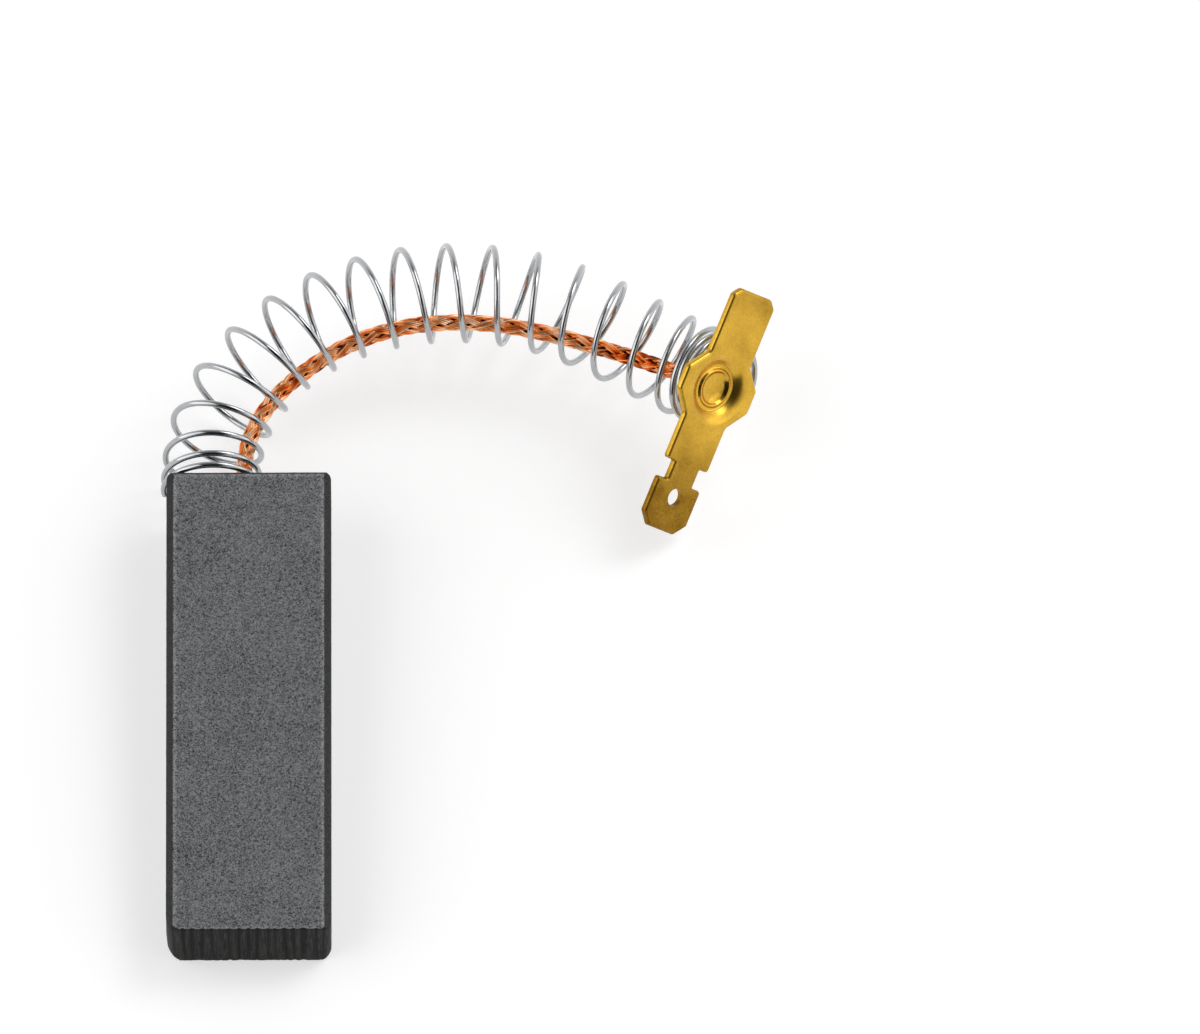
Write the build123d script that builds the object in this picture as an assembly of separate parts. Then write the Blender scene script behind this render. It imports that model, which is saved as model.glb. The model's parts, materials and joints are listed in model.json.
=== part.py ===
"""Carbon brush for a small commutator motor, in millimetres.

A carbon block carries a bare copper shunt, tamped into a hole in its rear end. The shunt runs
inside a long compression spring, which is bent over to the right as it lies loose, and ends in a
hollow rivet that clinches it to a stamped brass terminal.

Frame: origin at the centre of the block's flat back face. X runs across the block, Y along it,
away from the contact end, and Z through its thickness.
"""

import os
from math import cos, pi, radians, sin, tan

from build123d import *

# Carbon block
block_width = 12.5
block_length = 39.6
block_thickness = 5.0
long_bevel = 0.54
rear_bevel = 0.3
rear_corner_radius = 0.43
left_corner_radius = 1.2  # the corners of the contact end are worn round
right_corner_radius = 0.8
groove_pitch = 0.62  # bedding grooves, across the contact end
groove_depth = 0.12
groove_land = 0.12  # flat left between two grooves

# Hole in the middle of the block's rear end, and the copper powder tamped in round the shunt
shunt_hole_diameter = 2.6
shunt_hole_depth = 7.5
plug_clearance = 0.01
plug_recess = 0.15  # the powder ends this far below the rear face

# Shunt, a bare copper rope
shunt_diameter = 1.3
shunt_clearance = 0.02
shunt_exit_x = -0.45  # tamped in a little to the left of the hole's centre
shunt_exit_z = -0.2  # and below it
shunt_embedded = 2.2

# Spring, round steel wire
wire_diameter = 0.48
coil_mean_radius = 3.6
spring_turns = 19.6
first_coil_gap = 0.2  # between the coils that close up at the block
last_coil_gap = 0.06  # and between those at the terminal
first_blend = 3.6  # turns over which the pitch opens from the block
last_blend = 4.75
start_angle = 168.0  # where the wire begins, round from the inner side of the bend
seat_gap = 0.02
shunt_gap = 0.28  # the end coil has slid to the left until the shunt all but stops it
coil_drop = 1.0  # and it lies this far under the middle of the block's thickness
last_straight = 1.0  # the closed coils at the terminal don't bend
points_per_turn = 12

# Terminal, a stamped brass strip. Along it, s is measured from the tip of the tab.
terminal_thickness = 0.5
tab_half_width = 2.375
tab_tip_half_width = 1.4
tab_clip_end = 0.95
tab_end = 3.82
notch_half_width = 1.4
notch_end = 5.32
body_half_width = 2.3
widening_start = 8.95
wide_start = 10.6
wide_half_width = 3.85
wide_end = 12.45
narrowing_end = 14.0
arm_clip_start = 18.75
terminal_length = 19.35
arm_tip_half_width = 1.65
tab_hole_diameter = 1.4
tab_hole_s = 2.7

# Dimple in the terminal, drawn towards the spring
dimple_s = 11.55
dimple_mouth_radius = 2.45
dimple_floor_radius = 1.62
dimple_depth = 0.88
dimple_wall = 0.32  # drawn thinner than the strip
dimple_lip = 0.3  # bevel round the mouth

# Hollow rivet in the dimple's floor, with a dished head
rivet_head_gap = 0.15  # between the head and the dimple's wall
rivet_head_height = 0.4
rivet_rim_width = 0.12
rivet_dish_radius = 1.05  # of the dish's flat bottom
rivet_dish_thickness = 0.14
rivet_tube_wall = 0.38
rivet_tube_reach = 1.5  # behind the dimple's floor
rivet_clearance = 0.03

# How the terminal lies: the dimple's mouth from the middle of the block's rear end, and the
# directions of the strip's length and of its open side, in degrees
terminal_offset = (35.75, 6.45, 3.22)
long_azimuth = 64.5
long_elevation = 27.15
normal_azimuth = -42.3
normal_elevation = 29.8
boss_shift_across = -0.7  # where the last coil has settled round the dimple's boss
boss_shift_along = 0.5

# Worked out from the sizes above
rear_centre = Vector(0, block_length / 2, block_thickness / 2)
coil_inner_radius = coil_mean_radius - wire_diameter / 2
coil_shift_x = shunt_exit_x + shunt_diameter / 2 + shunt_gap - coil_inner_radius
rivet_bore_radius = shunt_diameter / 2 + shunt_clearance
rivet_tube_radius = rivet_bore_radius + rivet_tube_wall


def direction(azimuth, elevation):
    """Unit vector at an angle round Z from +X, and an angle above the XY plane."""
    a, e = radians(azimuth), radians(elevation)
    return Vector(cos(e) * cos(a), cos(e) * sin(a), sin(e))


long_axis = direction(long_azimuth, long_elevation)
leaning = direction(normal_azimuth, normal_elevation)
normal = (leaning - long_axis * leaning.dot(long_axis)).normalized()
across = normal.cross(long_axis)
mouth_centre = rear_centre + Vector(*terminal_offset)

# The terminal's own frame: origin in the dimple's mouth, x from the tab to the arm, z outwards
terminal_plane = Plane(origin=mouth_centre, x_dir=long_axis, z_dir=normal)


def plan_outline():
    """The block seen from above, with its grooved contact end and its four round corners."""
    half, front, rear = block_width / 2, -block_length / 2, block_length / 2
    left, right = -half + left_corner_radius, half - right_corner_radius
    count = int((right - left) / groove_pitch)
    first = (left + right - count * groove_pitch) / 2
    points = [(-half, rear), (-half, front)]
    for i in range(count):
        x = first + i * groove_pitch
        points.append((x + groove_land / 2, front))
        points.append((x + groove_pitch / 2, front + groove_depth))
        points.append((x + groove_pitch - groove_land / 2, front))
    points += [(half, front), (half, rear)]
    outline = make_face(Polyline(*points, close=True))
    for corner, radius in (
        ((-half, front), left_corner_radius),
        ((half, front), right_corner_radius),
        ((half, rear), rear_corner_radius),
        ((-half, rear), rear_corner_radius),
    ):
        outline = fillet(outline.vertices().sort_by_distance(Vector(*corner))[0], radius)
    return outline


def make_block():
    """Plan outline, cross-section and side profile, each extruded, and what they share."""
    half, rear, thick = block_width / 2, block_length / 2, block_thickness
    b, r = long_bevel, rear_bevel
    section = Polyline(
        (-half, b),
        (b - half, 0),
        (half - b, 0),
        (half, b),
        (half, thick - b),
        (half - b, thick),
        (b - half, thick),
        (-half, thick - b),
        close=True,
    )
    side = Polyline(
        (-rear, 0),
        (rear - r, 0),
        (rear, r),
        (rear, thick - r),
        (rear - r, thick),
        (-rear, thick),
        close=True,
    )
    plan_bar = extrude(plan_outline(), amount=thick)
    section_bar = extrude(Plane.XZ * make_face(section), amount=block_length, both=True)
    side_bar = extrude(Plane.YZ * make_face(side), amount=block_width, both=True)
    floor = Plane(origin=rear_centre - Vector(0, shunt_hole_depth, 0), z_dir=(0, 1, 0))
    hole = extrude(floor * Circle(shunt_hole_diameter / 2), amount=2 * shunt_hole_depth)
    return (plan_bar & section_bar & side_bar) - hole


def make_plug():
    """Tamped powder: it fills the hole, apart from what the shunt takes up."""
    floor = Plane(origin=rear_centre - Vector(0, shunt_hole_depth - plug_clearance, 0), z_dir=(0, 1, 0))
    length = shunt_hole_depth - plug_clearance - plug_recess
    plug = extrude(floor * Circle(shunt_hole_diameter / 2 - plug_clearance), amount=length)
    foot = rear_centre + Vector(shunt_exit_x, -shunt_embedded - shunt_clearance, shunt_exit_z)
    bore = Circle(shunt_diameter / 2 + shunt_clearance)
    return plug - extrude(Plane(origin=foot, z_dir=(0, 1, 0)) * bore, amount=shunt_hole_depth)


def shunt_route():
    """Points of the shunt's route: out of the plug, round inside the bend, into the rivet."""
    offsets = [
        (shunt_exit_x, -shunt_embedded, shunt_exit_z),
        (shunt_exit_x, 1.3, shunt_exit_z),
        (0.0, 4.6, -0.4),
        (1.75, 7.67, -0.2),
        (4.53, 10.2, 0.2),
        (7.93, 12.25, 0.55),
        (11.8, 13.5, 0.7),
        (15.6, 13.9, 0.65),
        (19.4, 13.72, 0.45),
        (23.1, 13.0, 0.2),
        (26.8, 11.85, 0.1),
        (30.2, 10.53, 0.3),
    ]
    points = [rear_centre + Vector(*offset) for offset in offsets]
    end = mouth_centre - normal * (dimple_depth + shunt_clearance)
    return points + [end - normal * 3.1, end]


def make_shunt():
    points = shunt_route()
    runs = [b - a for a, b in zip(points, points[1:])]
    radii = []
    for a, b in zip(runs, runs[1:]):
        half_turn = radians(a.get_angle(b)) / 2
        radii.append(0.45 * min(a.length, b.length) / tan(half_turn))
    path = FilletPolyline(*points, radius=radii)
    start = Plane(origin=points[0], z_dir=runs[0])
    shunt = sweep(start * Circle(shunt_diameter / 2), path=path)
    section = pi * shunt_diameter**2 / 4
    print("shunt radii", [round(r, 1) for r in radii])
    print(f"shunt length {path.length:.2f}, volume over section {shunt.volume / section:.2f}")
    return shunt


def spring_axis():
    """Middle line of the bent spring, from the block's rear face to the back of the terminal."""
    lift = wire_diameter / 2 + seat_gap
    offsets = [
        (coil_shift_x, lift, -coil_drop),
        (-2.15, 5.7, -0.85),
        (3.3, 12.3, 0.85),
        (10.1, 15.35, 1.25),
        (17.1, 16.06, 1.15),
        (23.95, 14.66, 0.95),
        (30.25, 11.25, 1.15),
    ]
    end = mouth_centre - normal * (terminal_thickness + lift)
    end += across * boss_shift_across + long_axis * boss_shift_along
    bend_end = end - normal * last_straight
    points = [rear_centre + Vector(*offset) for offset in offsets] + [bend_end]
    bend = Spline(*points, tangents=[Vector(0, 1, 0), normal], tangent_scalars=[1, 1])
    return Wire([bend.edge(), Edge.make_line(bend_end, end)])


def smooth(x):
    x = min(max(x, 0.0), 1.0)
    return x * x * (3 - 2 * x)


def coil_places(axis_length, steps):
    """How far along its axis the wire is after each step: closed coils at the ends, open between."""
    step = spring_turns / steps
    closed, opened = [], []
    for i in range(steps):
        turn = (i + 0.5) * step
        first = 1 - smooth(turn / first_blend)
        last = 1 - smooth((spring_turns - turn) / last_blend)
        closed.append(first * (wire_diameter + first_coil_gap) + last * (wire_diameter + last_coil_gap))
        opened.append(1 - first - last)
    open_pitch = (axis_length / step - sum(closed)) / sum(opened)
    print(f"spring axis {axis_length:.2f}, open pitch {open_pitch:.2f}")
    places = [0.0]
    for c, o in zip(closed, opened):
        places.append(places[-1] + (c + o * open_pitch) * step)
    return places


def make_spring():
    axis = spring_axis()
    steps = round(spring_turns * points_per_turn)
    points = []
    for i, place in enumerate(coil_places(axis.length, steps)):
        share = min(place / axis.length, 1.0)
        centre, ahead = axis @ share, axis % share
        side = ahead.cross(Vector(0, 0, 1)).normalized()
        over = ahead.cross(side)
        angle = radians(start_angle) + 2 * pi * spring_turns * i / steps
        points.append(centre + (side * cos(angle) + over * sin(angle)) * coil_mean_radius)
    wire = Spline(*points)
    start = Plane(origin=wire @ 0, z_dir=wire % 0)
    spring = sweep(start * Circle(wire_diameter / 2), path=wire, is_frenet=True)
    section = pi * wire_diameter**2 / 4
    print(f"wire length {wire.length:.1f}, volume over section {spring.volume / section:.1f}")
    return spring


def strip_outline():
    """The blanked strip, with the dimple's centre at the origin."""
    half = [
        (0, tab_tip_half_width),
        (tab_clip_end, tab_half_width),
        (tab_end, tab_half_width),
        (tab_end, notch_half_width),
        (notch_end, notch_half_width),
        (notch_end, body_half_width),
        (widening_start, body_half_width),
        (wide_start, wide_half_width),
        (wide_end, wide_half_width),
        (narrowing_end, body_half_width),
        (arm_clip_start, body_half_width),
        (terminal_length, arm_tip_half_width),
    ]
    points = [(s - dimple_s, w) for s, w in half] + [(s - dimple_s, -w) for s, w in reversed(half)]
    return make_face(Polyline(*points, close=True))


def turned(*profile):
    """Solid of revolution about the dimple's axis, from (radius, height) points."""
    return revolve(Plane.XZ * make_face(Polyline(*profile, close=True)), axis=Axis.Z)


def make_terminal():
    """Blanked flat, then drawn at the dimple, whose boss stands out of the back."""
    thick, lip = terminal_thickness, dimple_lip
    floor, back = -dimple_depth, -dimple_depth - thick
    slope = (dimple_mouth_radius - dimple_floor_radius) / dimple_depth
    shoulder = dimple_mouth_radius + dimple_wall * (1 + slope**2) ** 0.5 - thick * slope
    pocket = turned(
        (0, thick),
        (dimple_mouth_radius + lip, thick),
        (dimple_mouth_radius + lip, 0),
        (dimple_mouth_radius - lip * slope, -lip),
        (dimple_floor_radius, floor),
        (0, floor),
    )
    boss = turned(
        (0, -thick / 2),
        (shoulder, -thick / 2),
        (shoulder, -thick),
        (shoulder - dimple_depth * slope, back),
        (0, back),
    )
    rivet_hole = Cylinder(rivet_tube_radius + rivet_clearance, 4 * (dimple_depth + thick))
    tab_hole = Pos(tab_hole_s - dimple_s, 0, 0) * Cylinder(tab_hole_diameter / 2, 4 * thick)
    strip = extrude(strip_outline(), amount=-thick)
    return terminal_plane * (strip + boss - pocket - rivet_hole - tab_hole)


def make_rivet():
    """A dished head in the dimple, and a tube behind it that is closed over the shunt's end."""
    floor = -dimple_depth
    rim, dish = floor + rivet_head_height, floor + rivet_dish_thickness
    bottom = floor - terminal_thickness - rivet_tube_reach
    head = dimple_floor_radius - rivet_head_gap
    return terminal_plane * turned(
        (0, floor),
        (rivet_bore_radius, floor),
        (rivet_bore_radius, bottom),
        (rivet_tube_radius, bottom),
        (rivet_tube_radius, floor),
        (head, floor),
        (head, rim),
        (head - rivet_rim_width, rim),
        (rivet_dish_radius, dish),
        (0, dish),
    )


parts = {
    "carbon_block": make_block(),
    "tamping_plug": make_plug(),
    "shunt": make_shunt(),
    "spring": make_spring(),
    "terminal": make_terminal(),
    "shunt_rivet": make_rivet(),
}

os.makedirs("parts", exist_ok=True)
for name, part in parts.items():
    export_step(part, f"parts/{name}.step")
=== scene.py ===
"""Looks of the carbon brush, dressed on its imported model, in metres.

The sections follow the brush as it is put together: what it lies on, then the shunt, the carbon
block and the powder that holds the shunt in it, the spring, the terminal and its rivet.
"""

import json
import math

import bmesh
import bpy
import numpy as np
from mathutils import Matrix, Vector, noise
from mathutils.geometry import delaunay_2d_cdt


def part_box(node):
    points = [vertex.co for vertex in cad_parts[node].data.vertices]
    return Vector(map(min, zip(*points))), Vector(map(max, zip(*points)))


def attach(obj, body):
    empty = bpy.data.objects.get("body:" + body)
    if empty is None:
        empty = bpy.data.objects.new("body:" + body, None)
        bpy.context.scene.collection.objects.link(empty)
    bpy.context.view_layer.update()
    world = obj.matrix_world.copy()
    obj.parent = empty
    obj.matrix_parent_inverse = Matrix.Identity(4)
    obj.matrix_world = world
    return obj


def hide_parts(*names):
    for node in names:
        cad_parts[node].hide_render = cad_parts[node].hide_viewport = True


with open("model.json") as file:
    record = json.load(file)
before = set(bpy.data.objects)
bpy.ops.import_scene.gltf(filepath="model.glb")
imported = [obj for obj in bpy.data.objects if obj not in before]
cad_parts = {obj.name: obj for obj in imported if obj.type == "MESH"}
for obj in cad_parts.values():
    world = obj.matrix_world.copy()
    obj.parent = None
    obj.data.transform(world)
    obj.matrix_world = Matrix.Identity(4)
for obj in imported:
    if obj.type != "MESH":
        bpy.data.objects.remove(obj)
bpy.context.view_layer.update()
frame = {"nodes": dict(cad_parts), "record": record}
scene = bpy.context.scene
MM = 0.001

# Camera
# A very long lens looks down on the brush from in front of its contact end. What it aims at is
# given across and up the picture, from the upper edge of the block's rear end.
camera_elevation = math.radians(61.15)
camera_roll = math.radians(0.2)
camera_distance = 3.7
picture_width = 91.1 * MM
aim_across, aim_up = 26.67 * MM, -3.53 * MM

block_low, block_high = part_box("carbon_block")
back = Vector((0, -math.cos(camera_elevation), math.sin(camera_elevation)))
level = Vector((1, 0, 0))
upright = back.cross(level)
right = level * math.cos(camera_roll) - upright * math.sin(camera_roll)
up = upright * math.cos(camera_roll) + level * math.sin(camera_roll)
aim = Vector((0, block_high.y, block_high.z)) + right * aim_across + up * aim_up
camera = bpy.data.objects.new("camera", bpy.data.cameras.new("camera"))
camera.data.lens = camera.data.sensor_width * camera_distance / picture_width
camera.data.clip_start = 0.1
camera.data.clip_end = 10
turned = Matrix((right, up, back)).transposed().to_4x4()
camera.matrix_world = Matrix.Translation(aim + back * camera_distance) @ turned
scene.collection.objects.link(camera)
scene.camera = camera
scene.view_settings.view_transform = "Standard"

# Table
# Light table under the brush, which rests on the lower edge of its contact end and on the lowest
# coil of the spring. The table slopes by the angle between the two.
table_radius = 1.5
table_colour = "#CFCFCF"
table_glow = 0.49


def linear(colour):
    """Linear RGBA of an sRGB hex colour."""
    parts = [int(colour[i : i + 2], 16) / 255 for i in (1, 3, 5)]
    return [c / 12.92 if c <= 0.04045 else ((c + 0.055) / 1.055) ** 2.4 for c in parts] + [1]


def add(tree, kind, inputs=(), **settings):
    """Adds a node with its settings and its linked or set inputs, and gives its outputs."""
    node = tree.nodes.new(kind)
    for name, value in settings.items():
        setattr(node, name, value)
    for key, value in dict(inputs).items():
        if isinstance(value, bpy.types.NodeSocket):
            tree.links.new(value, node.inputs[key])
        else:
            node.inputs[key].default_value = value
    return node.outputs


def finish_of(name, sockets):
    """A new material, the tree in it and its shader, with values set on the shader's sockets."""
    material = bpy.data.materials.new(name)
    material.use_nodes = True
    shader = material.node_tree.nodes["Principled BSDF"]
    for key, value in sockets.items():
        shader.inputs[key].default_value = value
    return material, material.node_tree, shader


def new_piece(name, data):
    piece = bpy.data.objects.new(name, data)
    scene.collection.objects.link(piece)
    return piece


# Opal acrylic sheet, matt, evenly lit from below
opal = {
    "Base Color": linear(table_colour),
    "Roughness": 0.9,
    "Specular IOR Level": 0.2,
    "Emission Color": (1, 1, 1, 1),
    "Emission Strength": table_glow,
}
opal_finish, _, _ = finish_of("opal_acrylic", opal)

resting = [v.co for name in ("spring", "terminal") for v in frame["nodes"][name].data.vertices]
slope = max(math.atan2(-co.z, co.y - block_low.y) for co in resting if co.y > 0)
table_mesh = bmesh.new()
bmesh.ops.create_circle(table_mesh, cap_ends=True, segments=96, radius=table_radius)
table = new_piece("table", bpy.data.meshes.new("table"))
table_mesh.to_mesh(table.data)
table.data.materials.append(opal_finish)
table.matrix_world = Matrix.Translation((0, block_low.y, 0)) @ Matrix.Rotation(-slope, 4, "X")

# Room
# A white studio, with a broad soft box at the left, weaker ones at the right and high behind. The
# side of the room where the camera stands is black, which puts the dark core in the wire.
light_target = Vector((16 * MM, 10 * MM, 0))
wall_light, ceiling_light, black_light = 0.95, 0.22, 0.03
# Directions in the room, as parts of a length of one: where the walls end and the ceiling starts,
# and where the black side fades, aside from its middle and towards the rear
wall_top, ceiling_edge = 0.3, 0.8
black_middle = -0.05
fade_aside, fade_rear = (0.36, 0.5), (-0.25, -0.05)


def soft_box(name, azimuth, elevation, distance, width, power):
    """A square soft box that faces the brush, from an azimuth and an elevation round it."""
    a, e = math.radians(azimuth), math.radians(elevation)
    away = Vector((math.sin(a) * math.cos(e), -math.cos(a) * math.cos(e), math.sin(e)))
    light = bpy.data.lights.new(name, "AREA")
    light.shape = "SQUARE"
    light.size = width
    light.energy = power
    box = new_piece(name, light)
    facing = away.to_track_quat("Z", "Y").to_matrix().to_4x4()
    box.matrix_world = Matrix.Translation(light_target + away * distance) @ facing
    box.visible_camera = False


soft_box("left_box", azimuth=-80, elevation=38, distance=0.5, width=0.5, power=1.1)
soft_box("right_box", azimuth=95, elevation=30, distance=0.5, width=0.5, power=0.6)
soft_box("rear_box", azimuth=130, elevation=49, distance=0.6, width=0.3, power=1.0)

room = bpy.data.worlds.new("room")
room.use_nodes = True
scene.world = room
tree = room.node_tree
place = add(tree, "ShaderNodeTexCoord")["Generated"]
way = add(tree, "ShaderNodeSeparateXYZ", {0: place})
shade = {
    "Value": way["Z"],
    "From Min": wall_top,
    "From Max": ceiling_edge,
    "To Min": wall_light,
    "To Max": ceiling_light,
}
shade = add(tree, "ShaderNodeMapRange", shade)
aside = add(tree, "ShaderNodeMath", {0: way["X"], 1: -black_middle}, operation="ADD")
aside = add(tree, "ShaderNodeMath", {0: aside[0]}, operation="ABSOLUTE")
beside = {
    "Value": aside[0],
    "From Min": fade_aside[0],
    "From Max": fade_aside[1],
    "To Min": black_light,
}
beside = add(tree, "ShaderNodeMapRange", beside)
behind = {"Value": way["Y"], "From Min": fade_rear[0], "From Max": fade_rear[1]}
behind = add(tree, "ShaderNodeMapRange", behind)
white = add(tree, "ShaderNodeMath", {0: beside[0], 1: behind[0]}, operation="MAXIMUM")
shade = add(tree, "ShaderNodeMath", {0: shade[0], 1: white[0]}, operation="MULTIPLY")
# Below the table's level the room is plain white all round
below = add(tree, "ShaderNodeMath", {0: way["Z"], 1: 0.0}, operation="LESS_THAN")
shade = add(tree, "ShaderNodeMath", {0: shade[0], 1: below[0]}, operation="MAXIMUM")
tree.links.new(shade[0], tree.nodes["Background"].inputs["Strength"])
tree.nodes["Background"].inputs["Color"].default_value = (1, 1, 1, 1)

# Shunt
# Bare copper rope, braided from bundles of hair-fine wire. One end is tamped into the block, the
# other clinched in the rivet, and between them it follows the inside of the spring's bend.
shunt_diameter = 1.3 * MM
shunt_end_gap = 0.02 * MM
shunt_last_run = 3.1 * MM
# Points of its route, in mm from the middle of the block's rear end
shunt_offsets = [
    (-0.45, -2.2, -0.2),
    (-0.45, 1.3, -0.2),
    (0.0, 4.6, -0.4),
    (1.75, 7.67, -0.2),
    (4.53, 10.2, 0.2),
    (7.93, 12.25, 0.55),
    (11.8, 13.5, 0.7),
    (15.6, 13.9, 0.65),
    (19.4, 13.72, 0.45),
    (23.1, 13.0, 0.2),
    (26.8, 11.85, 0.1),
    (30.2, 10.53, 0.3),
]
bundles = 8
wires_in_bundle = 7
strand_radius = 0.072 * MM  # thicker than the real wires, which are too fine to show
braid_pitch = 9.0 * MM
braid_radius = 0.52 * MM
braid_lift = 0.045 * MM  # how far a bundle rises and dips where it crosses others
strand_jitter = 0.045 * MM
strand_step = 0.23 * MM
strand_sides, core_sides = 6, 16
strand_spacing, layer_spacing = 2.1, 1.8  # from wire to wire and layer to layer, in wire radii
# Painted shade: the inner layer counts as standing out less, which paints its wires darker
inner_painted_shade = 0.4  # how much less the inner layer stands out, as a share of the braid's rise
stray_length = 1.4 * MM
stray_apart = 3.7  # from strand to strand in the noise that leads them astray
tarnish_patch = 1.5 * MM
red_from, red_full = 17 * MM, 30 * MM  # how far to the right the copper gets redder

# The terminal's frame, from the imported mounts: the mouth of its dimple, its length and open side
dimple_from_hole = 8.85 * MM
strip_thickness = 0.5 * MM
dimple_depth = 0.88 * MM
mounts = {mount["name"]: mount for mount in frame["record"]["mounts"]}
strip_normal = Vector(mounts["tab_hole"]["axis"])
strip_length = -Vector(mounts["terminal_tab"]["axis"])
strip_across = strip_normal.cross(strip_length)
tab_hole = Vector(mounts["tab_hole"]["pos_m"])
mouth = tab_hole + strip_length * dimple_from_hole + strip_normal * (strip_thickness / 2)
rear_centre = Vector((0, block_high.y, (block_low.z + block_high.z) / 2))


def growing_tree(name, sizes):
    """A Geometry Nodes tree with named inputs, and the socket of each input."""
    tree = bpy.data.node_groups.new(name, "GeometryNodeTree")
    tree.interface.new_socket("Geometry", in_out="INPUT", socket_type="NodeSocketGeometry")
    for label, value in sizes.items():
        kind = {int: "NodeSocketInt", float: "NodeSocketFloat"}.get(type(value))
        kind = kind or "NodeSocketMaterial"
        tree.interface.new_socket(label, in_out="INPUT", socket_type=kind)
    tree.interface.new_socket("Geometry", in_out="OUTPUT", socket_type="NodeSocketGeometry")
    entry = add(tree, "NodeGroupInput")
    return tree, {socket.name: socket for socket in entry if socket.name}


def grow(name, tree, start, sizes):
    """Runs a tree on a mesh, with its sizes, and keeps the outcome as a piece with a plain mesh."""
    host = new_piece(name + "_host", start)
    modifier = host.modifiers.new(tree.name, "NODES")
    modifier.node_group = tree
    for item in tree.interface.items_tree:
        if item.in_out == "INPUT" and item.name in sizes:
            modifier[item.identifier] = sizes[item.name]
    graph = bpy.context.evaluated_depsgraph_get()
    mesh = bpy.data.meshes.new_from_object(
        host.evaluated_get(graph), preserve_all_data_layers=True, depsgraph=graph
    )
    bpy.data.objects.remove(host)
    return new_piece(name, mesh)


def line_of(curve):
    """The points along a curve's spline, read as a mesh of edges."""
    holder = bpy.data.objects.new("line", curve)
    line = bpy.data.meshes.new_from_object(holder)
    bpy.data.objects.remove(holder)
    return line


# Copper, drawn and bare: a painted highlight where the bundles stand up, painted shade, dark and
# red, between them and on the inner wires, a tone of its own for each wire, tarnished patches, and
# redder towards the terminal
copper_finish, tree, shader = finish_of("bare_copper_wire", {"Metallic": 0.95, "Roughness": 0.3})
strand = add(tree, "ShaderNodeAttribute", attribute_name="strand")["Fac"]
rise = add(tree, "ShaderNodeAttribute", attribute_name="rise")["Fac"]
place = add(tree, "ShaderNodeTexCoord")["Object"]
tone_shift = {"Vector": place, "Scale": 1 / tarnish_patch, "Detail": 3}
tone_shift = add(tree, "ShaderNodeTexNoise", tone_shift)
# Painted highlight where a wire stands up, painted shade where it sinks
painted_sheen_and_tone = add(tree, "ShaderNodeMath", {0: rise, 1: 0.5, 2: strand}, operation="MULTIPLY_ADD")
painted_sheen_and_tone = {0: tone_shift[0], 1: 0.4, 2: painted_sheen_and_tone[0]}
painted_sheen_and_tone = add(tree, "ShaderNodeMath", painted_sheen_and_tone, operation="MULTIPLY_ADD")
onward = add(tree, "ShaderNodeSeparateXYZ", {0: place})["X"]
reddened = {"Value": onward, "From Min": red_from, "From Max": red_full, "To Max": 0.35}
reddened = add(tree, "ShaderNodeMapRange", reddened)
painted_sheen_and_tone = add(tree, "ShaderNodeMath", {0: painted_sheen_and_tone[0], 1: reddened[0]}, operation="SUBTRACT")
tone = add(tree, "ShaderNodeMapRange", {"Value": painted_sheen_and_tone[0], "From Min": 0.2, "From Max": 1.3})
copper = add(tree, "ShaderNodeValToRGB", {"Fac": tone[0]})[0]
stops = copper.node.color_ramp.elements
stops[0].color, stops[1].color = linear("#4A1000"), linear("#FFDCB4")
for stop, colour in ((0.2, "#D8550F"), (0.5, "#FF9646")):
    stops.new(stop).color = linear(colour)
tree.links.new(copper, shader.inputs["Base Color"])

route = [rear_centre + Vector(offset) * MM for offset in shunt_offsets]
shunt_end = mouth - strip_normal * (dimple_depth + shunt_end_gap)
route += [shunt_end - strip_normal * shunt_last_run, shunt_end]
shunt_curve = bpy.data.curves.new("shunt_line", "CURVE")
shunt_curve.dimensions = "3D"
spline = shunt_curve.splines.new("NURBS")
spline.points.add(len(route) - 1)
for point, spot in zip(spline.points, route):
    point.co = (*spot, 1)
spline.order_u = 3
spline.use_endpoint_u = True
spline.resolution_u = 16
shunt_line = line_of(shunt_curve)

braid_sizes = {
    "Bundles": bundles,
    "Wires": wires_in_bundle,
    "Strand Radius": strand_radius,
    "Braid Radius": braid_radius,
    "Lift": braid_lift,
    "Pitch": braid_pitch,
    "Jitter": strand_jitter,
    "Step": strand_step,
    "Material": copper_finish,
}
tree, size = growing_tree("braid", braid_sizes)
middle = add(tree, "GeometryNodeMeshToCurve", {0: size["Geometry"]})
middle = {"Curve": middle[0], "Length": size["Step"]}
middle = add(tree, "GeometryNodeResampleCurve", middle, mode="LENGTH")
count = add(tree, "ShaderNodeMath", {0: size["Bundles"], 1: size["Wires"]}, operation="MULTIPLY")
strands = {"Geometry": middle[0], "Amount": count[0]}
strands = add(tree, "GeometryNodeDuplicateElements", strands, domain="SPLINE")
share = add(tree, "ShaderNodeMath", {0: strands[1], 1: size["Wires"]}, operation="DIVIDE")
bundle = add(tree, "ShaderNodeMath", {0: share[0]}, operation="FLOOR")
# A bundle has two layers of wires, the outer one with one wire more
member = add(tree, "ShaderNodeMath", {0: strands[1], 1: size["Wires"]}, operation="MODULO")
outer = add(tree, "ShaderNodeMath", {0: size["Wires"], 1: 2.0}, operation="DIVIDE")
outer = add(tree, "ShaderNodeMath", {0: outer[0]}, operation="CEIL")
inner = add(tree, "ShaderNodeMath", {0: member[0], 1: outer[0]}, operation="SUBTRACT")
inner = add(tree, "ShaderNodeMath", {0: inner[0], 1: -0.5}, operation="GREATER_THAN")
column = add(tree, "ShaderNodeMath", {0: inner[0], 1: outer[0]}, operation="MULTIPLY")
column = add(tree, "ShaderNodeMath", {0: member[0], 1: column[0]}, operation="SUBTRACT")
centred = add(tree, "ShaderNodeMath", {0: outer[0], 1: inner[0]}, operation="SUBTRACT")
centred = add(tree, "ShaderNodeMath", {0: centred[0], 1: 1.0}, operation="SUBTRACT")
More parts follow.
